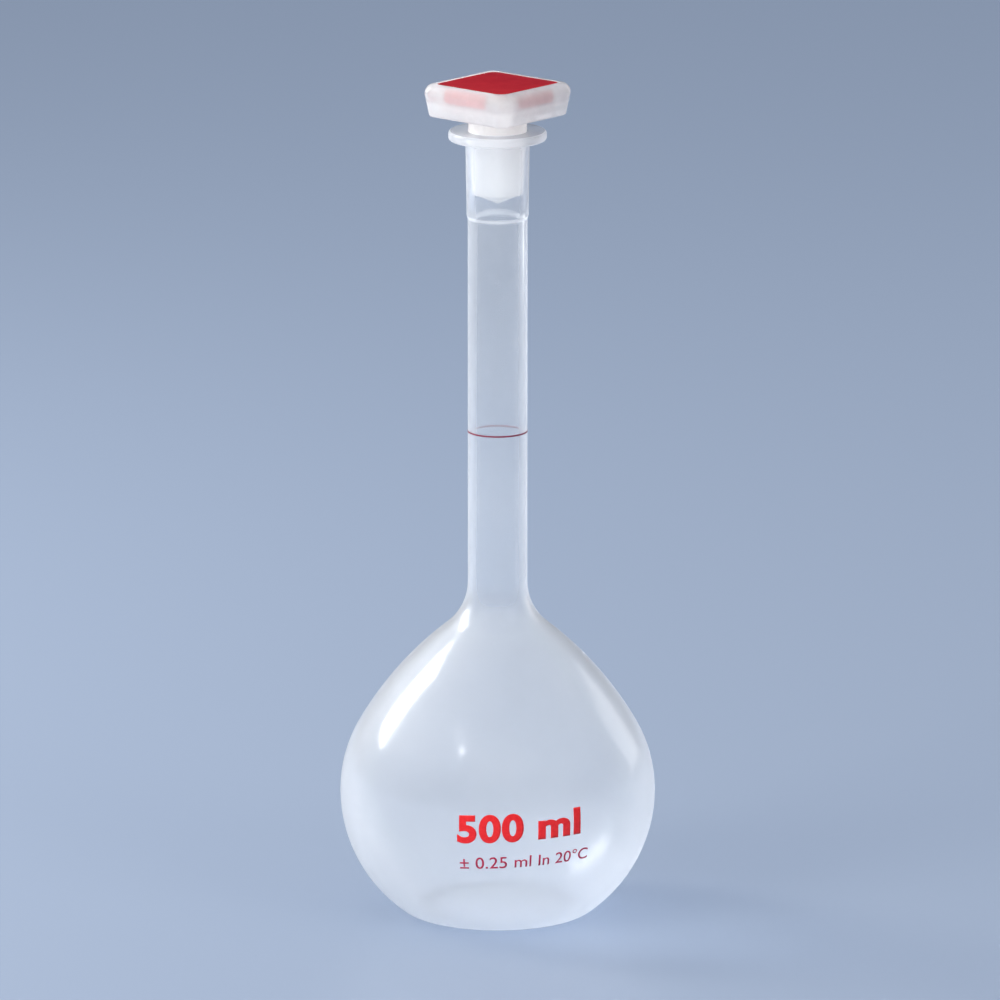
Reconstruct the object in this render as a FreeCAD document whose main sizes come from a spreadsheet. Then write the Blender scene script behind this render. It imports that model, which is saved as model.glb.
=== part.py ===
# A 500 ml volumetric flask with a tapered stopper, standing upright on its foot.
# Millimetres, +Z up, the origin at the middle of the foot.
import FreeCAD
import Part
import Sketcher
import math
import os
from types import SimpleNamespace

# Driving dimensions in millimetres and degrees.
SIZES = {
    # bulb
    "bulb_diameter": 101.44,
    "equator_height": 40.05,
    "crown_radius": 43.3,
    "crown_angle": 29.6,
    "shoulder_angle": 51.6,
    "neck_blend_radius": 18.25,
    "heel_angle": 53.5,
    "heel_radius": 8.65,
    "foot_width": 6.0,
    "punt_height": 2.2,
    "wall": 1.45,
    # neck, with the conical socket and the flange at its mouth
    "neck_length": 118.6,
    "joint_gauge": 18.8,
    "joint_taper": 0.1,
    "joint_length": 26.0,
    "socket_length": 28.7,
    "socket_wall": 0.9,
    "socket_step": 0.35,
    "socket_ramp": 1.2,
    "mouth_chamfer": 0.4,
    "flange_overhang": 5.4,
    "flange_thickness": 3.1,
    "flange_edge_round": 1.0,
    "flange_root_round": 0.8,
    # printed ring mark
    "mark_rise": 49.35,
    "mark_width": 0.5,
    "mark_thickness": 0.06,
    # plug of the stopper
    "joint_clearance": 0.06,
    "plug_depth": 20.1,
    "plug_wall": 1.7,
    "plug_edge_round": 0.8,
    "tip_length": 3.7,
    "tip_round": 0.7,
    "tip_wall": 1.8,
    # head of the stopper, a tray for the cover plate
    "head_lift": 4.7,
    "head_side": 32.5,
    "head_height": 10.65,
    "head_draft": 11.5,
    "head_corner_radius": 3.0,
    "head_top_round": 3.0,
    "head_bottom_round": 1.2,
    "head_floor": 2.2,
    "tray_wall": 1.65,
    "tray_corner_radius": 3.1,
    "ledge_width": 0.9,
    "stopper_turn": 49.0,
    # coloured cover plate, held in the tray by a tongue on each side
    "plate_clearance": 0.1,
    "plate_thickness": 1.6,
    "plate_sink": 0.15,
    "plate_edge_round": 0.3,
    "tongue_width": 17.0,
    "tongue_thickness": 1.0,
    "tongue_length": 3.4,
    "tongue_corner_radius": 1.0,
}
SIDES = 4

# The most of a wall or a corner that a round takes, so that some flat is always left.
WALL_SHARE = 0.45
CORNER_SHARE = 0.9

# Lengths that follow from the driving ones, in the sheet's names.
# The neck's bore is the small end of the conical socket.
NECK_RADIUS = "(sizes.joint_gauge - sizes.joint_length * sizes.joint_taper) / 2 + sizes.wall"
PLUG_RADIUS = "sizes.joint_gauge / 2 - sizes.joint_clearance"
PLUG_END_RADIUS = f"{PLUG_RADIUS} - sizes.plug_depth * sizes.joint_taper / 2"
FLOOR_HEIGHT = "sizes.head_lift + sizes.head_floor"
HEAD_TOP = "sizes.head_lift + sizes.head_height"
PLATE_BOTTOM = f"{HEAD_TOP} - sizes.plate_sink - sizes.plate_thickness"
TRAY_SIDE = "sizes.head_side - 2 * sizes.tray_wall"
WELL_SIDE = f"{TRAY_SIDE} - 2 * sizes.ledge_width"
PLATE_SIDE = f"{TRAY_SIDE} - 2 * sizes.plate_clearance"
TRAY_DEPTH = "sizes.plate_sink + sizes.plate_thickness"
SLOT_WIDTH = "sizes.tongue_width + 2 * sizes.plate_clearance"

# The sketcher's own numbers for the places on a curve and for its two axes.
START, END, CENTRE = range(1, 4)
H_AXIS, V_AXIS = range(-1, -3, -1)
ORIGIN = (H_AXIS, START)
UP = FreeCAD.Vector(0, 0, 1)
FULL_TURN = math.degrees(math.tau)
EDGE_TOLERANCE = 1e-4

size = SimpleNamespace(**SIZES)
doc = FreeCAD.newDocument("volumetric_flask")
sheet = doc.addObject("Spreadsheet::Sheet", "sizes")


def fill_sheet():
    """Every driving dimension in a cell of its own, under its own alias."""
    for row, (alias, value) in enumerate(SIZES.items(), start=1):
        sheet.set(f"A{row}", str(value))
        sheet.setAlias(f"A{row}", alias)
    doc.recompute()


def value_of(expression):
    """What an expression in the sheet's names comes to."""
    return float(sheet.evalExpression(expression.replace("sizes.", "")))


def point(x, y):
    return FreeCAD.Vector(x, y, 0)


def polar(centre, radius, degrees):
    """The point at an angle on a circle."""
    angle = math.radians(degrees)
    return centre + point(radius * math.cos(angle), radius * math.sin(angle))


def make_body(name):
    body = doc.addObject("PartDesign::Body", name)
    body.Label = name
    return body


def make_sketch(body, name, role, offset=None):
    """A sketch on one of the body's own origin planes, or at an offset along its normal."""
    sketch = body.newObject("Sketcher::SketchObject", name)
    plane = next(f for f in body.Origin.OriginFeatures if f.Role == role)
    sketch.AttachmentSupport = [(plane, "")]
    sketch.MapMode = "FlatFace"
    if offset:
        sketch.setExpression("AttachmentOffset.Base.z", offset)
    return sketch


def rule(sketch, kind, *where):
    sketch.addConstraint(Sketcher.Constraint(kind, *where))


def dimension(sketch, name, expression, kind, *where):
    """A named driving dimension that follows the sheet."""
    value = value_of(expression)
    if kind == "Angle":
        value = math.radians(value)
    index = sketch.addConstraint(Sketcher.Constraint(kind, *where, value))
    sketch.renameConstraint(index, name)
    sketch.setExpression(f"Constraints.{name}", expression)


def measure(sketch, name, value, kind, *where):
    """A named reference dimension that other bodies read."""
    index = sketch.addConstraint(Sketcher.Constraint(kind, *where, value))
    sketch.setDriving(index, False)
    sketch.renameConstraint(index, name)


class Outline:
    """Lines and arcs drawn end to end in a sketch, each joined to the one before."""

    def __init__(self, sketch, start):
        self.sketch = sketch
        self.pen = start
        self.first = None
        self.last = None

    def _add(self, curve, begin, finish, target, smooth):
        geometry = self.sketch.addGeometry(curve, False)
        if self.last:
            rule(self.sketch, "Tangent" if smooth else "Coincident", *self.last, geometry, begin)
        self.first = self.first or (geometry, begin)
        self.last = (geometry, finish)
        self.pen = target
        return geometry

    def line(self, target, smooth=False):
        return self._add(Part.LineSegment(self.pen, target), START, END, target, smooth)

    def arc(self, centre, target, clockwise=False, smooth=False):
        circle = Part.Circle(centre, UP, (self.pen - centre).Length)
        begin, finish = START, END
        span = [math.atan2(p.y - centre.y, p.x - centre.x) for p in (self.pen, target)]
        if clockwise:
            begin, finish = END, START
            span.reverse()
        return self._add(Part.ArcOfCircle(circle, *span), begin, finish, target, smooth)

    def close(self, smooth=False):
        rule(self.sketch, "Tangent" if smooth else "Coincident", *self.last, *self.first)


def turn(body, name, sketch, kind="PartDesign::Revolution"):
    """A full turn of a sketch about the vertical axis."""
    feature = body.newObject(kind, name)
    feature.Profile = sketch
    feature.ReferenceAxis = (sketch, ["V_Axis"])
    feature.Angle = FULL_TURN
    return feature


def extrude(body, name, sketch, length, kind="PartDesign::Pad"):
    feature = body.newObject(kind, name)
    feature.Profile = sketch
    feature.setExpression("Length", length)
    return feature


def soften(body, name, base, edges, radius):
    """A fillet along the named edges of a feature."""
    feature = body.newObject("PartDesign::Fillet", name)
    feature.Base = (base, edges)
    feature.setExpression("Radius", radius)
    doc.recompute()
    return feature


def cut_checked(cut, base):
    """Stops the build if a cut took nothing away."""
    doc.recompute()
    if cut.Shape.Volume >= base.Shape.Volume:
        raise RuntimeError(f"{cut.Name} removed nothing")
    return cut


def flat_edges(feature, height, radius=None):
    """Names of the edges that lie flat at a height, or only the circles of one radius there."""
    names = []
    for number, edge in enumerate(feature.Shape.Edges, start=1):
        box = edge.BoundBox
        if edge.Degenerated or max(abs(box.ZMin - height), abs(box.ZMax - height)) > EDGE_TOLERANCE:
            continue
        if radius is None or abs(edge.Curve.Radius - radius) < EDGE_TOLERANCE:
            names.append(f"Edge{number}")
    return names


def bulb_outline(sketch, inset, neck_rise):
    """Half the bulb from the top of the punt to the upper end of the neck, moved inwards by an inset.
    The arcs run into each other without a corner. Returns the outline and the line of the neck."""
    shift = value_of(inset)
    equator = size.bulb_diameter / 2
    neck = value_of(NECK_RADIUS)
    crown_cos, shoulder_cos = (math.cos(math.radians(a)) for a in (size.crown_angle, size.shoulder_angle))
    drop = size.crown_radius * (1 - crown_cos) + size.neck_blend_radius * (1 - shoulder_cos)
    shoulder = (equator - drop - neck) / (crown_cos - shoulder_cos)
    lower = size.heel_radius
    lower += (size.equator_height - size.heel_radius) / math.sin(math.radians(size.heel_angle))

    crown_centre = point(equator - size.crown_radius, size.equator_height)
    shoulder_centre = polar(crown_centre, size.crown_radius - shoulder, size.crown_angle)
    blend_centre = polar(shoulder_centre, shoulder + size.neck_blend_radius, size.shoulder_angle)
    lower_centre = point(equator - lower, size.equator_height)
    heel_centre = polar(lower_centre, lower - size.heel_radius, -size.heel_angle)
    foot = heel_centre.x - size.foot_width
    punt_radius = (foot ** 2 + size.punt_height ** 2) / (2 * size.punt_height)
    punt_top = size.punt_height + shift
    neck_foot = point(neck - shift, blend_centre.y)

    heel_end = polar(heel_centre, size.heel_radius - shift, -size.heel_angle)
    crown_end = polar(crown_centre, size.crown_radius - shift, size.crown_angle)
    slope_end = polar(shoulder_centre, shoulder - shift, size.shoulder_angle)

    outline = Outline(sketch, point(0, punt_top))
    punt = outline.arc(point(0, punt_top - punt_radius), point(foot, shift), clockwise=True)
    floor = outline.line(point(heel_centre.x, shift))
    heel = outline.arc(heel_centre, heel_end, smooth=True)
    belly = outline.arc(lower_centre, point(equator - shift, size.equator_height), smooth=True)
    crown = outline.arc(crown_centre, crown_end, smooth=True)
    slope = outline.arc(shoulder_centre, slope_end, smooth=True)
    blend = outline.arc(blend_centre, neck_foot, clockwise=True, smooth=True)
    straight = outline.line(neck_foot + point(0, value_of(neck_rise)), smooth=True)

    rule(sketch, "PointOnObject", punt, CENTRE, V_AXIS)
    rule(sketch, "PointOnObject", punt, END, V_AXIS)
    dimension(sketch, "punt_top", f"sizes.punt_height + {inset}", "DistanceY", *ORIGIN, punt, END)
    rule(sketch, "Horizontal", floor)
    if shift:
        dimension(sketch, "floor", inset, "DistanceY", *ORIGIN, floor, START)
    else:
        rule(sketch, "PointOnObject", floor, START, H_AXIS)
    dimension(sketch, "foot_width", "sizes.foot_width", "DistanceX", floor, START, floor, END)
    dimension(sketch, "heel_radius", f"sizes.heel_radius - {inset}", "Radius", heel)
    dimension(sketch, "heel_angle", "sizes.heel_angle", "Angle", belly)
    rule(sketch, "Horizontal", belly, CENTRE, belly, END)
    dimension(sketch, "equator", f"sizes.bulb_diameter / 2 - {inset}", "DistanceX", *ORIGIN, belly, END)
    dimension(sketch, "equator_height", "sizes.equator_height", "DistanceY", *ORIGIN, belly, END)
    dimension(sketch, "crown_radius", f"sizes.crown_radius - {inset}", "Radius", crown)
    dimension(sketch, "crown_angle", "sizes.crown_angle", "Angle", crown)
    dimension(sketch, "shoulder_angle", "sizes.shoulder_angle - sizes.crown_angle", "Angle", slope)
    dimension(sketch, "blend_radius", f"sizes.neck_blend_radius + {inset}", "Radius", blend)
    rule(sketch, "Vertical", straight)
    dimension(sketch, "neck_radius", f"{NECK_RADIUS} - {inset}", "DistanceX", *ORIGIN, straight, START)
    dimension(sketch, "neck_rise", neck_rise, "DistanceY", straight, START, straight, END)
    return outline, straight


def close_on_axis(outline, top, bottom):
    """Runs level from the pen to the axis and back down it to the start."""
    sketch = outline.sketch
    level = outline.line(point(0, top))
    outline.line(point(0, bottom))
    outline.close()
    rule(sketch, "Horizontal", level)
    rule(sketch, "PointOnObject", level, END, V_AXIS)


def flask_blank(body):
    """The flask's outside, turned as a solid."""
    sketch = make_sketch(body, "flask_outside", "XZ_Plane")
    outline, neck = bulb_outline(sketch, "0", "sizes.neck_length")
    neck_foot = outline.pen.y - size.neck_length
    rim = outline.pen.y + size.socket_length
    mouth = size.joint_gauge / 2 + size.socket_wall
    ramp = outline.line(outline.pen + point(size.socket_step, size.socket_ramp))
    socket = outline.line(point(mouth, rim - size.flange_thickness))
    under = outline.line(outline.pen + point(size.flange_overhang, 0))
    edge = outline.line(outline.pen + point(0, size.flange_thickness))
    close_on_axis(outline, rim, size.punt_height)
    dimension(sketch, "step_width", "sizes.socket_step", "DistanceX", ramp, START, ramp, END)
    dimension(sketch, "step_ramp", "sizes.socket_ramp", "DistanceY", ramp, START, ramp, END)
    dimension(sketch, "socket_length", "sizes.socket_length", "DistanceY", neck, END, edge, END)
    dimension(sketch, "mouth", "sizes.joint_gauge / 2 + sizes.socket_wall", "DistanceX",
              *ORIGIN, socket, END)
    rule(sketch, "Horizontal", under)
    dimension(sketch, "overhang", "sizes.flange_overhang", "DistanceX", under, START, under, END)
    rule(sketch, "Vertical", edge)
    dimension(sketch, "flange_thickness", "sizes.flange_thickness", "DistanceY", edge, START, edge, END)
    measure(sketch, "neck_foot", neck_foot, "DistanceY", *ORIGIN, neck, START)
    measure(sketch, "rim", rim, "DistanceY", *ORIGIN, edge, END)
    return turn(body, "flask_blank", sketch), rim


def flask_hollow(body, rim):
    """The cavity one wall inside the bulb and neck, opening through the conical socket."""
    sketch = make_sketch(body, "flask_inside", "XZ_Plane")
    bore_rise = "sizes.neck_length + sizes.socket_length - sizes.joint_length"
    cone_mouth = "(sizes.joint_gauge - sizes.mouth_chamfer * sizes.joint_taper) / 2"
    outline, _ = bulb_outline(sketch, "sizes.wall", bore_rise)
    cone = outline.line(point(value_of(cone_mouth), rim - size.mouth_chamfer))
    chamfer = outline.line(outline.pen + point(size.mouth_chamfer, size.mouth_chamfer))
    close_on_axis(outline, rim, size.punt_height + size.wall)
    dimension(sketch, "cone_mouth", cone_mouth, "DistanceX", *ORIGIN, cone, END)
    dimension(sketch, "cone_rise", "sizes.joint_length - sizes.mouth_chamfer", "DistanceY",
              cone, START, cone, END)
    dimension(sketch, "chamfer_width", "sizes.mouth_chamfer", "DistanceX", chamfer, START, chamfer, END)
    dimension(sketch, "chamfer_rise", "sizes.mouth_chamfer", "DistanceY", chamfer, START, chamfer, END)
    return turn(body, "flask_hollow", sketch, "PartDesign::Groove")


def make_flask():
    """The one-piece flask: foot, bulb, neck, socket and flange."""
    body = make_body("flask_body")
    blank, rim = flask_blank(body)
    hollow = cut_checked(flask_hollow(body, rim), blank)
    socket = size.joint_gauge / 2 + size.socket_wall
    flange = socket + size.flange_overhang
    underside = rim - size.flange_thickness
    edges = flat_edges(hollow, rim, flange) + flat_edges(hollow, underside, flange)
    lip = soften(body, "flange_edge", hollow, edges,
                 f"min(sizes.flange_edge_round; {WALL_SHARE} * sizes.flange_thickness)")
    soften(body, "flange_root", lip, flat_edges(lip, underside, socket),
           f"min(sizes.flange_root_round; {WALL_SHARE} * sizes.flange_overhang)")
    return body


def make_mark():
    """The printed ring at the height that the flask is filled to, a thin band on the neck."""
    body = make_body("graduation_ring")
    sketch = make_sketch(body, "mark_section", "XZ_Plane")
    inner = value_of(NECK_RADIUS)
    half = size.mark_width / 2
    outline = Outline(sketch, point(inner, -half))
    bottom = outline.line(point(inner + size.mark_thickness, -half))
    outer = outline.line(point(inner + size.mark_thickness, half))
    top = outline.line(point(inner, half))
    inside = outline.line(point(inner, -half))
    outline.close()
    for level in (bottom, top):
        rule(sketch, "Horizontal", level)
    for upright in (outer, inside):
        rule(sketch, "Vertical", upright)
    dimension(sketch, "radius", NECK_RADIUS, "DistanceX", *ORIGIN, inside, END)
    dimension(sketch, "thickness", "sizes.mark_thickness", "DistanceX", bottom, START, bottom, END)
    dimension(sketch, "half_width", "sizes.mark_width / 2", "DistanceY", inside, END, *ORIGIN)
    dimension(sketch, "width", "sizes.mark_width", "DistanceY", outer, START, outer, END)
    turn(body, "mark_band", sketch)
    body.setExpression("Placement.Base.z", "flask_outside.Constraints.neck_foot + sizes.mark_rise * 1 mm")
    return body


def rounded_square(sketch, side, corner):
    """A square about the origin with rounded corners, from the expressions for its side and its radius."""
    half, radius = value_of(side) / 2, value_of(corner)
    flat = half - radius
    outline = Outline(sketch, point(-flat, -half))
    front = outline.line(point(flat, -half))
    arcs = [outline.arc(point(flat, -flat), point(half, -flat), smooth=True)]
    right = outline.line(point(half, flat), smooth=True)
    arcs.append(outline.arc(point(flat, flat), point(flat, half), smooth=True))
    back = outline.line(point(-flat, half), smooth=True)
    arcs.append(outline.arc(point(-flat, flat), point(-half, flat), smooth=True))
    left = outline.line(point(-half, -flat), smooth=True)
    arcs.append(outline.arc(point(-flat, -flat), point(-flat, -half), smooth=True))
    outline.close(smooth=True)
    for level in (front, back):
        rule(sketch, "Horizontal", level)
    for upright in (left, right):
        rule(sketch, "Vertical", upright)
    for other in arcs[1:]:
        rule(sketch, "Equal", arcs[0], other)
    dimension(sketch, "corner_radius", corner, "Radius", arcs[0])
    dimension(sketch, "front", f"({side}) / 2", "DistanceY", front, START, *ORIGIN)
    dimension(sketch, "back", f"({side}) / 2", "DistanceY", *ORIGIN, back, START)
    dimension(sketch, "left", f"({side}) / 2", "DistanceX", left, START, *ORIGIN)
    dimension(sketch, "right", f"({side}) / 2", "DistanceX", *ORIGIN, right, START)


def head_block(body):
    """The head as a solid block, wider at the top, with its edges rounded."""
    sketch = make_sketch(body, "head_base", "XY_Plane", "sizes.head_lift")
    rounded_square(sketch, "sizes.head_side", "sizes.head_corner_radius")
    block = extrude(body, "head_block", sketch, "sizes.head_height")
    block.setExpression("TaperAngle", "sizes.head_draft")
    doc.recompute()
    top_corner = "(sizes.head_corner_radius + sizes.head_height * tan(sizes.head_draft))"
    crowned = soften(body, "head_top_edge", block, flat_edges(block, value_of(HEAD_TOP)),
                     f"min(sizes.head_top_round; {CORNER_SHARE} * {top_corner})")
    return soften(body, "head_bottom_edge", crowned, flat_edges(crowned, size.head_lift),
                  f"min(sizes.head_bottom_round; {CORNER_SHARE} * sizes.head_corner_radius)")


def plug(body):
    """The plug: a short shank, the cone that seats in the socket and a blunt tip."""
    sketch = make_sketch(body, "plug_outside", "XZ_Plane")
    radius, end_radius, root = (value_of(e) for e in (PLUG_RADIUS, PLUG_END_RADIUS, FLOOR_HEIGHT))
    bottom = -(size.plug_depth + size.tip_length)
    tip_centre = point(0, bottom + size.tip_round)
    rim = point(end_radius, -size.plug_depth)
    reach = rim - tip_centre
    touch = math.degrees(math.atan2(reach.y, reach.x) - math.acos(size.tip_round / reach.Length))
    outline = Outline(sketch, point(0, root))
    top = outline.line(point(radius, root))
    shank = outline.line(point(radius, 0))
    cone = outline.line(rim)
    outline.line(polar(tip_centre, size.tip_round, touch))
    tip = outline.arc(tip_centre, point(0, bottom), clockwise=True, smooth=True)
    outline.line(point(0, root))
    outline.close()
    rule(sketch, "Horizontal", top)
    rule(sketch, "PointOnObject", top, START, V_AXIS)
    rule(sketch, "Vertical", shank)
    rule(sketch, "PointOnObject", shank, END, H_AXIS)
    rule(sketch, "PointOnObject", tip, CENTRE, V_AXIS)
    rule(sketch, "PointOnObject", tip, START, V_AXIS)
    dimension(sketch, "root", FLOOR_HEIGHT, "DistanceY", *ORIGIN, top, END)
    dimension(sketch, "radius", PLUG_RADIUS, "DistanceX", *ORIGIN, top, END)
    dimension(sketch, "end_radius", PLUG_END_RADIUS, "DistanceX", *ORIGIN, cone, END)
    dimension(sketch, "depth", "sizes.plug_depth", "DistanceY", cone, END, *ORIGIN)
    dimension(sketch, "tip_round", "sizes.tip_round", "Radius", tip)
    dimension(sketch, "bottom", "sizes.plug_depth + sizes.tip_length", "DistanceY", tip, START, *ORIGIN)
    solid = turn(body, "plug_solid", sketch)
    doc.recompute()
    return soften(body, "plug_edge", solid, flat_edges(solid, -size.plug_depth, end_radius),
                  "sizes.plug_edge_round")


def plug_bore(body):
    """The hollow of the plug, open to the tray and closed at the tip."""
    sketch = make_sketch(body, "plug_inside", "XZ_Plane")
    radius, end_radius, root = (value_of(e) for e in (PLUG_RADIUS, PLUG_END_RADIUS, FLOOR_HEIGHT))
    bottom = size.tip_wall - size.plug_depth - size.tip_length
    outline = Outline(sketch, point(0, root))
    top = outline.line(point(radius - size.plug_wall, root))
    shank = outline.line(point(radius - size.plug_wall, 0))
    cone = outline.line(point(end_radius - size.plug_wall, -size.plug_depth))
    tip = outline.line(point(0, bottom))
    outline.line(point(0, root))
    outline.close()
    rule(sketch, "Horizontal", top)
    rule(sketch, "PointOnObject", top, START, V_AXIS)
    rule(sketch, "Vertical", shank)
    rule(sketch, "PointOnObject", shank, END, H_AXIS)
    rule(sketch, "PointOnObject", tip, END, V_AXIS)
    dimension(sketch, "root", FLOOR_HEIGHT, "DistanceY", *ORIGIN, top, END)
    dimension(sketch, "radius", f"{PLUG_RADIUS} - sizes.plug_wall", "DistanceX", *ORIGIN, top, END)
    dimension(sketch, "end_radius", f"{PLUG_END_RADIUS} - sizes.plug_wall", "DistanceX", *ORIGIN, cone, END)
    dimension(sketch, "depth", "sizes.plug_depth", "DistanceY", cone, END, *ORIGIN)
    dimension(sketch, "bottom", "sizes.plug_depth + sizes.tip_length - sizes.tip_wall", "DistanceY",
              tip, END, *ORIGIN)
    return turn(body, "plug_bore", sketch, "PartDesign::Groove")


def seat_on_rim(body):
    """Stands a piece that is drawn about the rim plane on the mouth of the flask, turned as it is set."""
    body.Placement = FreeCAD.Placement(FreeCAD.Vector(), FreeCAD.Rotation(UP, size.stopper_turn))
    body.setExpression("Placement.Base.z", "flask_outside.Constraints.rim")
    body.setExpression("Placement.Rotation.Angle", "sizes.stopper_turn * 1 deg")


def repeat(body, name, feature, sketch):
    """A copy of a feature on each side of the head."""
    pattern = body.newObject("PartDesign::PolarPattern", name)
    pattern.Originals = [feature]
    pattern.Axis = (sketch, ["N_Axis"])
    pattern.Angle = FULL_TURN
    pattern.Occurrences = SIDES
    body.Tip = pattern
    doc.recompute()
    return pattern


def tongue_slots(body):
    """A slot on each side that parts the tray's ledge where a tongue of the plate goes down."""
    sketch = make_sketch(body, "slot_outline", "XY_Plane", HEAD_TOP)
    half, reach = value_of(SLOT_WIDTH) / 2, value_of(TRAY_SIDE) / 2
    outline = Outline(sketch, point(0, -half))
    front = outline.line(point(reach, -half))
    end = outline.line(point(reach, half))
    back = outline.line(point(0, half))
    middle = outline.line(point(0, -half))
    outline.close()
    for level in (front, back):
        rule(sketch, "Horizontal", level)
    rule(sketch, "Vertical", end)
    for corner in (START, END):
        rule(sketch, "PointOnObject", middle, corner, V_AXIS)
    dimension(sketch, "front", f"({SLOT_WIDTH}) / 2", "DistanceY", front, START, *ORIGIN)
    dimension(sketch, "back", f"({SLOT_WIDTH}) / 2", "DistanceY", *ORIGIN, back, END)
    dimension(sketch, "reach", f"({TRAY_SIDE}) / 2", "DistanceX", *ORIGIN, end, START)
    slot = extrude(body, "tongue_slot", sketch,
                   f"{TRAY_DEPTH} + sizes.tongue_length + sizes.plate_clearance", "PartDesign::Pocket")
    doc.recompute()
    return repeat(body, "tongue_slots", slot, sketch)


def make_stopper():
    """The stopper's moulding: a square tray head on a hollow tapered plug."""
    body = make_body("stopper_body")
    head_block(body)
    solid = plug(body)
    tray_sketch = make_sketch(body, "tray_outline", "XY_Plane", HEAD_TOP)
    rounded_square(tray_sketch, TRAY_SIDE, "sizes.tray_corner_radius")
    tray = extrude(body, "tray", tray_sketch, TRAY_DEPTH, "PartDesign::Pocket")
    cut_checked(tray, solid)
    well_sketch = make_sketch(body, "well_outline", "XY_Plane", HEAD_TOP)
    rounded_square(well_sketch, WELL_SIDE, f"{CORNER_SHARE} * sizes.tray_corner_radius")
    well = extrude(body, "well", well_sketch, "sizes.head_height - sizes.head_floor", "PartDesign::Pocket")
    cut_checked(well, tray)
    slots = cut_checked(tongue_slots(body), well)
    cut_checked(plug_bore(body), slots)
    seat_on_rim(body)
    return body


def tongue_outline(sketch):
    """The face of one tongue, from inside the plate down to its rounded lower corners."""
    half, radius = size.tongue_width / 2, size.tongue_corner_radius
    plate_bottom = value_of(PLATE_BOTTOM)
    top = plate_bottom + size.plate_thickness / 2
    bottom = plate_bottom - size.tongue_length
    outline = Outline(sketch, point(-half, top))
    left = outline.line(point(-half, bottom + radius))
    flat = half - radius
    arcs = [outline.arc(point(-flat, bottom + radius), point(-flat, bottom), smooth=True)]
    low = outline.line(point(flat, bottom), smooth=True)
    arcs.append(outline.arc(point(flat, bottom + radius), point(half, bottom + radius), smooth=True))
    right = outline.line(point(half, top), smooth=True)
    high = outline.line(point(-half, top))
    outline.close()
    for upright in (left, right):
        rule(sketch, "Vertical", upright)
    for level in (low, high):
        rule(sketch, "Horizontal", level)
    rule(sketch, "Equal", *arcs)
    dimension(sketch, "corner_radius", "sizes.tongue_corner_radius", "Radius", arcs[0])
    dimension(sketch, "left", "sizes.tongue_width / 2", "DistanceX", left, START, *ORIGIN)
    dimension(sketch, "right", "sizes.tongue_width / 2", "DistanceX", *ORIGIN, right, START)
    dimension(sketch, "top", f"{PLATE_BOTTOM} + sizes.plate_thickness / 2", "DistanceY", *ORIGIN, high, END)
    dimension(sketch, "bottom", f"{PLATE_BOTTOM} - sizes.tongue_length", "DistanceY", *ORIGIN, low, START)


def make_insert():
    """The coloured plate that closes the tray, with a tongue along each side that fills a slot."""
    body = make_body("stopper_insert")
    plate_sketch = make_sketch(body, "plate_outline", "XY_Plane", PLATE_BOTTOM)
    rounded_square(plate_sketch, PLATE_SIDE, "sizes.tray_corner_radius - sizes.plate_clearance")
    plate = extrude(body, "plate", plate_sketch, "sizes.plate_thickness")
    doc.recompute()
    top = value_of(PLATE_BOTTOM) + size.plate_thickness
    soften(body, "plate_edge", plate, flat_edges(plate, top),
           f"min(sizes.plate_edge_round; {WALL_SHARE} * sizes.plate_thickness)")
    inner_face = f"({PLATE_SIDE}) / 2 - sizes.tongue_thickness"
    tongue_sketch = make_sketch(body, "tongue_outline", "YZ_Plane", inner_face)
    tongue_outline(tongue_sketch)
    tongue = extrude(body, "tongue", tongue_sketch, "sizes.tongue_thickness")
    doc.recompute()
    repeat(body, "tongues", tongue, plate_sketch)
    seat_on_rim(body)
    return body


def check(bodies):
    """Stops the build if any object failed or any sub-part is not one sound solid."""
    failed = [item.Name for item in doc.Objects if {"Invalid", "Error"} & set(item.State)]
    if failed:
        raise RuntimeError(f"failed objects: {failed}")
    for body in bodies:
        shape = body.Shape
        if shape.isNull() or not shape.isValid() or len(shape.Solids) != 1:
            raise RuntimeError(f"{body.Label} is not one valid solid")


def main():
    fill_sheet()
    bodies = [make_flask(), make_mark(), make_stopper(), make_insert()]
    doc.recompute()
    check(bodies)
    os.makedirs("parts", exist_ok=True)
    for body in bodies:
        body.Shape.exportStep(f"parts/{body.Label}.step")
        print(body.Label, f"{body.Shape.Volume:.1f} mm3")


main()
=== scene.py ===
# A hazy plastic volumetric flask with a milky stopper and a red cover plate, lit as in a plain studio.
# Metres, +Z up, the origin at the middle of the foot, the print towards -Y.
import math
import bmesh
import bpy
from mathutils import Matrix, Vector
from mathutils.bvhtree import BVHTree


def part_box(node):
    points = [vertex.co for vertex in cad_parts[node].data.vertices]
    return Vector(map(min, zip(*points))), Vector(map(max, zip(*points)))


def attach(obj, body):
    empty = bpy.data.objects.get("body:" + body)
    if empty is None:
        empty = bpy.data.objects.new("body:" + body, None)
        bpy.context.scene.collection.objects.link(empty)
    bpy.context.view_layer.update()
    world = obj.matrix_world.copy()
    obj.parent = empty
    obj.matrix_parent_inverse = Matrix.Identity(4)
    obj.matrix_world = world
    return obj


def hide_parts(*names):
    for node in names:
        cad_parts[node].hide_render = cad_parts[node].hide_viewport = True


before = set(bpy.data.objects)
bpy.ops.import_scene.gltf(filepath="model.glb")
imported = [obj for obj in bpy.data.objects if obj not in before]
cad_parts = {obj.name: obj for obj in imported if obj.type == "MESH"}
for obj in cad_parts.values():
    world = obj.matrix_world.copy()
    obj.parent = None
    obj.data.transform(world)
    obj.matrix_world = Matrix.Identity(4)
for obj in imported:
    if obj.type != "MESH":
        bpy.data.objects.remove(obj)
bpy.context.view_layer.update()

# The bulb's radius, and the heights of the flask's rim and of the stopper's head, from the solids.
BULB_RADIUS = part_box("flask_body")[1].x
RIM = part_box("flask_body")[1].z
HEAD_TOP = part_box("stopper_body")[1].z

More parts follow.
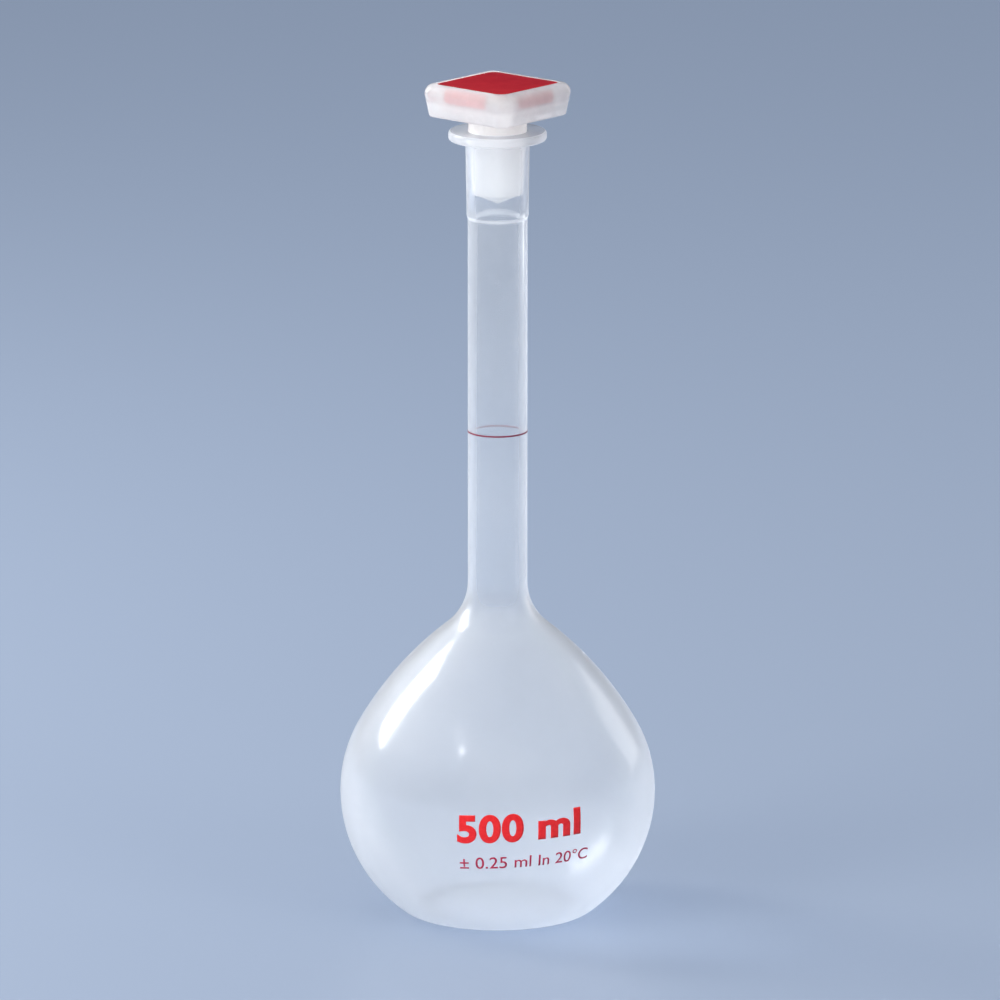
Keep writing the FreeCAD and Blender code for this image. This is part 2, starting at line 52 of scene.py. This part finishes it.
# Camera, from the photograph's perspective.
CAMERA_PLACE = (0.00077, -3.550, 0.9656)
CAMERA_PITCH = math.radians(13.16)
CAMERA_LENS = 409.4
SENSOR_WIDTH = 36.0

# Lamps: name, place, height on the flask's axis that they face, width and height, watts, and whether the
# lamp itself can be seen, straight or mirrored.
LAMPS = (
    ("key", (-0.95, 0.48, 0.72), 0.12, (0.32, 0.60), 9.0, True),
    ("side", (1.00, 0.75, 0.36), 0.12, (0.50, 0.55), 1.2, True),
    ("glint", (-0.75, -1.05, 1.30), 0.15, (0.05, 0.05), 0.6, True),
    ("fill_left", (-1.30, -1.10, 0.80), 0.14, (0.80, 0.90), 18.0, False),
    ("fill_right", (1.30, -1.20, 0.70), 0.14, (0.80, 0.90), 10.5, False),
    ("bounce", (-0.55, -0.45, 0.10), 0.05, (0.50, 0.18), 1.3, False),
)

# The floor is a disc. Its colour changes from a near to a far place along Y.
FLOOR_RADIUS = 9.0
FLOOR_CORNERS = 96
FLOOR_CHANGE = (-0.3, 2.0)

# The sky changes from its horizon to its top between two heights, on a sphere of radius 1.
SKY_CHANGE = (0.15, 0.75)

# Colours, as linear red, green, blue and alpha. Pairs are the two ends of a change.
CLEAR_TINT = (0.97, 0.98, 0.99, 1.0)
CLEAR_SHADOW = (0.84, 0.855, 0.88, 1.0)
VEIL_WHITE = (0.95, 0.96, 0.97, 1.0)
MILK_TINT = (0.985, 0.985, 0.975, 1.0)
MILK_SHADOW = (0.72, 0.70, 0.70, 1.0)
MILK_WHITE = (0.97, 0.97, 0.955, 1.0)
PLATE_REDS = (0.46, 0.004, 0.008, 1.0), (0.52, 0.007, 0.011, 1.0)
RING_REDS = (0.20, 0.012, 0.035, 1.0), (0.27, 0.02, 0.05, 1.0)
BOLD_REDS = (0.76, 0.012, 0.014, 1.0), (0.85, 0.022, 0.022, 1.0)
FINE_REDS = (0.42, 0.012, 0.05, 1.0), (0.52, 0.02, 0.07, 1.0)
FLOOR_BLUES = (0.31, 0.375, 0.49, 1.0), (0.33, 0.41, 0.55, 1.0)
SKY_BLUES = (0.04, 0.055, 0.09, 1.0), (0.74, 0.77, 0.82, 1.0)

# Refraction of the plastics, the soft coat that spreads the flask's highlights, the gloss of the other
# layers, and the share of light that goes through a milky layer.
FLASK_IOR = 1.463
STOPPER_IOR = 1.49
COAT_WEIGHT = 0.45
COAT_ROUGHNESS = 0.38
VEIL_ROUGHNESS = 0.12
BLUR_ROUGHNESS = 0.22
FLOOR_ROUGHNESS = 0.5
PLATE_SPECULAR = 0.12
MILK_THROUGH = 0.5

# Haze of the flask's wall, as its milky share: all over, at the foot, in the flange and along the socket's
# step. At the foot the extra milk is partly a thicker base and partly painted glow of light coming up
# through the bottom; the thin band along the step is a painted highlight line. The flange and the step lie
# at depths below the rim.
CLOUD_HAZE = (0.05, 0.08)
FOOT_HAZE_AND_GLOW = 0.10
FOOT_HAZE_AND_GLOW_TOP = 0.055
FLANGE_HAZE = 0.22
FLANGE_DEPTHS = (0.0049, 0.0029)
STEP_PAINTED_HIGHLIGHT = 0.35
STEP_DEPTH = 0.0281
STEP_FADE = (0.0002, 0.0009)

# Veil on the outside of the wall, for the bulb and for the neck: its even share, what is added where the
# wall is seen edge-on, and how closely that keeps to the edge. They meet at the neck's foot.
NECK_FOOT = (0.098, 0.112)
EVEN_VEIL = (0.22, 0.09)
EDGE_VEIL = (0.60, 0.85)
EDGE_POWER = (1.8, 2.0)

# How far the wall faces outward, as a cosine, where its outside begins and where it is full.
WALL_TURN = (0.25, 0.5)

# The stopper's clear share below and above the floor of its tray, given by depths below the head's top.
TRAY_DEPTHS = (0.0068, 0.0050)
STOPPER_CLEAR = (0.34, 0.56)

# Print on the bulb: name, text, first and last angle from the front in degrees, height of the letters'
# foot, and the letters' own height. The weights thicken the letters. The slant is the rise in a radian.
BOLD_PRINT = (
    ("print_capacity", "500", (-14.8, 9.5), 0.0352, 0.0094),
    ("print_unit", "ml", (14.8, 31.5), 0.0354, 0.0088),
)
FINE_PRINT = (
    ("print_range", "± 0.25 ml", (-14.2, 12.6), 0.0264, 0.0040),
    ("print_warmth", "In 20°C", (15.4, 35.3), 0.0264, 0.0040),
)
BOLD_WEIGHT = 0.041
FINE_WEIGHT = 0.004
PRINT_SLANT = 0.002

# Ink: its thickness, its distance from the wall, the width of the strips that bend, and how near its points
# are joined.
INK_THICKNESS = 0.00005
INK_LIFT = 0.00001
INK_CELL = 0.0008
INK_WELD = 1e-5

# Seams of the CAD meshes that are closed, and the angle from which an edge stays sharp.
SEAM = 1e-6
SHARP_ANGLE = math.radians(28.0)

# Sockets of a colour mix, which share their names: its factor, its two colours and its result.
MIX_FACTOR, MIX_FIRST, MIX_SECOND = 0, 6, 7
MIX_RESULT = 2

# Axes, and the factors that leave the level part of a place.
X_AXIS = Vector((1.0, 0.0, 0.0))
Z_AXIS = Vector((0.0, 0.0, 1.0))
LEVEL_PART = (1.0, 1.0, 0.0)


def add_object(name, data):
    """An object in the scene."""
    thing = bpy.data.objects.new(name, data)
    bpy.context.scene.collection.objects.link(thing)
    return thing


def add_node(tree, kind, inputs=None, **settings):
    """A node with its settings and its sockets, whose values are numbers, colours or other sockets."""
    node = tree.nodes.new(kind)
    for name, value in settings.items():
        setattr(node, name, value)
    for name, value in (inputs or {}).items():
        if isinstance(value, bpy.types.NodeSocket):
            tree.links.new(value, node.inputs[name])
        else:
            node.inputs[name].default_value = value
    return node


def math_node(tree, operation, *values):
    node = add_node(tree, "ShaderNodeMath", dict(enumerate(values)), operation=operation)
    return node.outputs["Value"]


def vector_node(tree, operation, *values):
    return add_node(tree, "ShaderNodeVectorMath", dict(enumerate(values)), operation=operation)


def total(tree, first, *others):
    """The sum of several values."""
    for other in others:
        first = math_node(tree, "ADD", first, other)
    return first


def ramp(tree, value, low, high, start=0.0, end=1.0):
    """A value carried smoothly from one range to another, and held at both ends."""
    inputs = {"Value": value, "From Min": low, "From Max": high, "To Min": start, "To Max": end}
    return add_node(tree, "ShaderNodeMapRange", inputs, interpolation_type="SMOOTHSTEP").outputs["Result"]


def position(tree):
    """Where the shaded point is on the object, in metres."""
    return add_node(tree, "ShaderNodeTexCoord").outputs["Object"]


def along(tree, axis, place):
    """One coordinate of a place."""
    return add_node(tree, "ShaderNodeSeparateXYZ", {"Vector": place}).outputs[axis]


def noise(tree, scale, detail=2.0):
    inputs = {"Vector": position(tree), "Scale": scale, "Detail": detail}
    return add_node(tree, "ShaderNodeTexNoise", inputs).outputs["Fac"]


def wander(tree, start, end, scale, detail=2.0, spread=(0.3, 0.7)):
    """A value that wanders between two levels over the surface, by the noise inside a spread."""
    return ramp(tree, noise(tree, scale, detail), *spread, start, end)


def bump(tree, value, strength, distance):
    inputs = {"Height": value, "Strength": strength, "Distance": distance}
    return add_node(tree, "ShaderNodeBump", inputs).outputs["Normal"]


def blend(tree, factor, colours):
    """A colour between two others."""
    inputs = {MIX_FACTOR: factor, MIX_FIRST: colours[0], MIX_SECOND: colours[1]}
    return add_node(tree, "ShaderNodeMix", inputs, data_type="RGBA").outputs[MIX_RESULT]


def principled(tree, inputs):
    return add_node(tree, "ShaderNodeBsdfPrincipled", inputs).outputs["BSDF"]


def join(tree, factor, first, second):
    """One shader carried over into another by a factor."""
    mix = add_node(tree, "ShaderNodeMixShader", {"Fac": factor, 1: first, 2: second})
    return mix.outputs["Shader"]


def milk(tree, colour, roughness, normal):
    """A milky layer: some of its light comes back, and the rest goes through and spreads."""
    front = principled(tree, {"Base Color": colour, "Roughness": roughness, "Normal": normal})
    behind = add_node(tree, "ShaderNodeBsdfTranslucent", {"Color": colour, "Normal": normal})
    return join(tree, MILK_THROUGH, front, behind.outputs["BSDF"])


def glass(tree, colour, roughness, ior, normal, coat=0.0):
    """Clear plastic, which may have a soft coat."""
    return principled(tree, {
        "Base Color": colour,
        "Roughness": roughness,
        "IOR": ior,
        "Transmission Weight": 1.0,
        "Coat Weight": coat,
        "Coat Roughness": COAT_ROUGHNESS,
        "Normal": normal,
    })


def let_light_through(tree, plastic, tint):
    """The plastic as it looks, with a shadow that only takes a tint from the light."""
    shadow = add_node(tree, "ShaderNodeLightPath").outputs["Is Shadow Ray"]
    clear = add_node(tree, "ShaderNodeBsdfTransparent", {"Color": tint}).outputs["BSDF"]
    return join(tree, shadow, plastic, clear)


def outer_veil(tree):
    """The veil on the near outside of the turned wall. On its inside and its far side there is none."""
    geometry = add_node(tree, "ShaderNodeNewGeometry").outputs
    sideways = vector_node(tree, "MULTIPLY", position(tree), LEVEL_PART).outputs["Vector"]
    sideways = vector_node(tree, "NORMALIZE", sideways).outputs["Vector"]
    outward = vector_node(tree, "DOT_PRODUCT", sideways, geometry["Normal"]).outputs["Value"]
    outside = ramp(tree, outward, *WALL_TURN)
    front = math_node(tree, "SUBTRACT", 1.0, geometry["Backfacing"])
    z = along(tree, "Z", position(tree))
    even = ramp(tree, z, *NECK_FOOT, *EVEN_VEIL)
    gain = ramp(tree, z, *NECK_FOOT, *EDGE_VEIL)
    power = ramp(tree, z, *NECK_FOOT, *EDGE_POWER)
    edge_on = add_node(tree, "ShaderNodeLayerWeight").outputs["Facing"]
    veil = math_node(tree, "MULTIPLY_ADD", math_node(tree, "POWER", edge_on, power), gain, even)
    return math_node(tree, "MULTIPLY", math_node(tree, "MULTIPLY", outside, front), veil)


def new_material(name):
    """An empty node material and its tree."""
    material = bpy.data.materials.new(name)
    material.use_nodes = True
    material.node_tree.nodes.clear()
    return material, material.node_tree


def put_out(tree, shader):
    """Makes a shader the surface of its material."""
    add_node(tree, "ShaderNodeOutputMaterial", {"Surface": shader})


def clear_plastic():
    """Clear plastic with a milky haze, thicker in the flange. At the foot the extra milk is partly a
    thicker base and partly painted glow; the thin milky band along the socket's step is a painted
    highlight.
    """
    material, tree = new_material("clear_plastic_hazy")
    z = along(tree, "Z", position(tree))
    cloud = wander(tree, *CLOUD_HAZE, scale=26.0, spread=(0.3, 0.75))
    # Whiter towards the foot: partly a thicker base, partly painted glow of light coming up through the
    # bottom.
    foot = ramp(tree, z, 0.0, FOOT_HAZE_AND_GLOW_TOP, FOOT_HAZE_AND_GLOW, 0.0)
    flange = ramp(tree, z, RIM - FLANGE_DEPTHS[0], RIM - FLANGE_DEPTHS[1], 0.0, FLANGE_HAZE)
    # A thin milky band along the socket's step: a painted highlight line, not thicker plastic.
    from_step = math_node(tree, "ABSOLUTE", math_node(tree, "SUBTRACT", z, RIM - STEP_DEPTH))
    step = ramp(tree, from_step, *STEP_FADE, STEP_PAINTED_HIGHLIGHT, 0.0)
    haze_and_painted_light = total(tree, cloud, foot, flange, step, outer_veil(tree))
    wave = bump(tree, noise(tree, scale=24.0, detail=0.0), strength=0.03, distance=0.0005)
    roughness = wander(tree, 0.09, 0.14, scale=60.0)
    clear = glass(tree, CLEAR_TINT, roughness, FLASK_IOR, wave, COAT_WEIGHT)
    milky = milk(tree, VEIL_WHITE, VEIL_ROUGHNESS, wave)
    put_out(tree, let_light_through(tree, join(tree, haze_and_painted_light, clear, milky), CLEAR_SHADOW))
    return material


def milky_plastic():
    """Milky moulded plastic that lets light and a blurred view through, mostly where the tray is hollow."""
    material, tree = new_material("milky_plastic_satin")
    z = along(tree, "Z", position(tree))
    grain = bump(tree, noise(tree, scale=900.0, detail=3.0), strength=0.04, distance=0.0001)
    milky = milk(tree, MILK_WHITE, wander(tree, 0.22, 0.32, scale=300.0), grain)
    clear = glass(tree, MILK_TINT, BLUR_ROUGHNESS, STOPPER_IOR, grain)
    hollow = ramp(tree, z, HEAD_TOP - TRAY_DEPTHS[0], HEAD_TOP - TRAY_DEPTHS[1], *STOPPER_CLEAR)
    share = total(tree, hollow, wander(tree, -0.04, 0.04, scale=80.0))
    put_out(tree, let_light_through(tree, join(tree, share, milky, clear), MILK_SHADOW))
    return material


def red_plastic():
    """Glossy red moulded plastic with a slight flow pattern."""
    material, tree = new_material("red_plastic_gloss")
    put_out(tree, principled(tree, {
        "Base Color": blend(tree, wander(tree, 0.0, 1.0, scale=140.0, detail=4.0), PLATE_REDS),
        "Roughness": wander(tree, 0.10, 0.16, scale=400.0),
        "IOR": STOPPER_IOR,
        "Specular IOR Level": PLATE_SPECULAR,
        "Normal": bump(tree, noise(tree, scale=90.0, detail=0.0), strength=0.02, distance=0.0001),
    }))
    return material


def ink(name, reds):
    """Printed ink of slightly uneven cover."""
    material, tree = new_material(name)
    cover = wander(tree, 0.0, 1.0, scale=900.0, detail=3.0, spread=(0.25, 0.75))
    put_out(tree, principled(tree, {
        "Base Color": blend(tree, cover, reds),
        "Roughness": wander(tree, 0.32, 0.45, scale=500.0),
    }))
    return material


def floor_surface():
    """A plain pale floor that changes a little with distance."""
    material, tree = new_material("pale_floor")
    far = ramp(tree, along(tree, "Y", position(tree)), *FLOOR_CHANGE)
    colour = blend(tree, far, FLOOR_BLUES)
    put_out(tree, principled(tree, {"Base Color": colour, "Roughness": FLOOR_ROUGHNESS}))
    return material


def dress(node, material):
    """Puts a material on a CAD piece."""
    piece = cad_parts[node]
    piece.data.materials.clear()
    piece.data.materials.append(material)


def smooth_copy(node, body, material):
    """A copy of a CAD piece in its place, with its seams closed and its curved faces shaded smooth."""
    shape = bmesh.new()
    shape.from_mesh(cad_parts[node].data)
    bmesh.ops.remove_doubles(shape, verts=shape.verts, dist=SEAM)
    shape.verts.index_update()
    mesh = bpy.data.meshes.new(node + "_smooth")
    mesh.from_pydata([v.co for v in shape.verts], [], [[v.index for v in f.verts] for f in shape.faces])
    shape.free()
    mesh.shade_smooth()
    mesh.set_sharp_from_angle(angle=SHARP_ANGLE)
    mesh.materials.append(material)
    piece = add_object(node + "_smooth", mesh)
    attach(piece, body)
    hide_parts(node)


def text_mesh(text, weight):
    """The flat letters of a text as Blender sets them, thickened by a weight and spaced to suit."""
    curve = bpy.data.curves.new("letters", "FONT")
    curve.body = text
    curve.offset = weight
    curve.space_character = 1.0 + 2.0 * weight
    holder = add_object("letters", curve)
    bpy.context.view_layer.update()
    flat = bpy.data.meshes.new_from_object(holder.evaluated_get(bpy.context.evaluated_depsgraph_get()))
    bpy.data.objects.remove(holder)
    return flat


def slice_mesh(mesh, direction, start, end):
    """Cuts a flat mesh into strips so that it can bend."""
    count = max(1, round((end - start) / INK_CELL))
    for i in range(1, count):
        cut = direction * (start + (end - start) * i / count)
        everything = mesh.verts[:] + mesh.edges[:] + mesh.faces[:]
        bmesh.ops.bisect_plane(mesh, geom=everything, plane_co=cut, plane_no=direction)


def flat_letters(text, weight, angles, foot, rise):
    """Letters on a flat sheet, as wide as the way round the bulb between two angles, cut into strips."""
    flat = text_mesh(text, weight)
    xs = [v.co.x for v in flat.vertices]
    ys = [v.co.y for v in flat.vertices]
    left, width = min(xs), max(xs) - min(xs)
    low, tall = min(ys), max(ys) - min(ys)
    first, last = (math.radians(a) for a in angles)
    letters = bmesh.new()
    letters.from_mesh(flat)
    for v in letters.verts:
        angle = first + (v.co.x - left) / width * (last - first)
        v.co = Vector((BULB_RADIUS * angle, 0.0, foot + (v.co.y - low) / tall * rise))
    slice_mesh(letters, X_AXIS, BULB_RADIUS * first, BULB_RADIUS * last)
    slice_mesh(letters, Z_AXIS, foot, foot + rise)
    bmesh.ops.remove_doubles(letters, verts=letters.verts, dist=INK_WELD)
    bmesh.ops.dissolve_degenerate(letters, edges=letters.edges, dist=INK_WELD)
    return letters


def wrap_round_bulb(letters):
    """Bends flat letters round the bulb and lays them on its wall, slanting a little."""
    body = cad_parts["flask_body"].data
    bulb = BVHTree.FromPolygons([v.co for v in body.vertices], [p.vertices for p in body.polygons])
    for v in letters.verts:
        angle = v.co.x / BULB_RADIUS
        outward = Vector((math.sin(angle), -math.cos(angle), 0.0))
        level = Z_AXIS * (v.co.z + PRINT_SLANT * angle)
        place, _, _, _ = bulb.ray_cast(outward * 2 * BULB_RADIUS + level, -outward)
        v.co = place + outward * INK_LIFT
    bmesh.ops.recalc_face_normals(letters, faces=letters.faces)


def print_on_bulb(name, text, angles, foot, rise, weight, material):
    """One line of print on the bulb, as a thin layer of ink."""
    letters = flat_letters(text, weight, angles, foot, rise)
    wrap_round_bulb(letters)
    mesh = bpy.data.meshes.new(name)
    letters.to_mesh(mesh)
    letters.free()
    mesh.materials.append(material)
    piece = add_object(name, mesh)
    layer = piece.modifiers.new("ink", "SOLIDIFY")
    layer.thickness = INK_THICKNESS
    layer.offset = 1.0
    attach(piece, "flask")


def make_floor():
    mesh = bpy.data.meshes.new("floor")
    shape = bmesh.new()
    bmesh.ops.create_circle(shape, cap_ends=True, segments=FLOOR_CORNERS, radius=FLOOR_RADIUS)
    shape.to_mesh(mesh)
    shape.free()
    mesh.materials.append(floor_surface())
    floor = add_object("floor", mesh)


def make_world():
    """Soft light from above, and a darker band round the horizon."""
    world = bpy.data.worlds.new("studio")
    bpy.context.scene.world = world
    world.use_nodes = True
    tree = world.node_tree
    direction = add_node(tree, "ShaderNodeTexCoord").outputs["Generated"]
    level = ramp(tree, along(tree, "Z", direction), *SKY_CHANGE)
    tree.links.new(blend(tree, level, SKY_BLUES), tree.nodes["Background"].inputs["Color"])


def area_lamp(name, place, aim, size, watts, seen):
    """A rectangular lamp that faces a height on the flask's axis."""
    data = bpy.data.lights.new(name, "AREA")
    data.shape = "RECTANGLE"
    data.size, data.size_y = size
    data.energy = watts
    lamp = add_object(name, data)
    lamp.location = place
    lamp.rotation_euler = (Z_AXIS * aim - Vector(place)).to_track_quat("-Z", "Y").to_euler()
    lamp.visible_camera = seen
    lamp.visible_glossy = seen
    lamp.visible_transmission = seen


def make_camera():
    data = bpy.data.cameras.new("camera")
    data.sensor_width = SENSOR_WIDTH
    data.lens = CAMERA_LENS
    camera = add_object("camera", data)
    camera.location = CAMERA_PLACE
    camera.rotation_euler = (math.pi / 2 - CAMERA_PITCH, 0.0, 0.0)
    bpy.context.scene.camera = camera


smooth_copy("flask_body", "flask", clear_plastic())
dress("graduation_ring", ink("ring_ink", RING_REDS))
smooth_copy("stopper_body", "stopper", milky_plastic())
smooth_copy("stopper_insert", "stopper", red_plastic())
bold_ink = ink("capacity_ink", BOLD_REDS)
fine_ink = ink("fine_ink", FINE_REDS)
for line in BOLD_PRINT:
    print_on_bulb(*line, BOLD_WEIGHT, bold_ink)
for line in FINE_PRINT:
    print_on_bulb(*line, FINE_WEIGHT, fine_ink)
make_floor()
make_world()
for lamp in LAMPS:
    area_lamp(*lamp)
make_camera()
bpy.context.scene.view_settings.view_transform = "Standard"
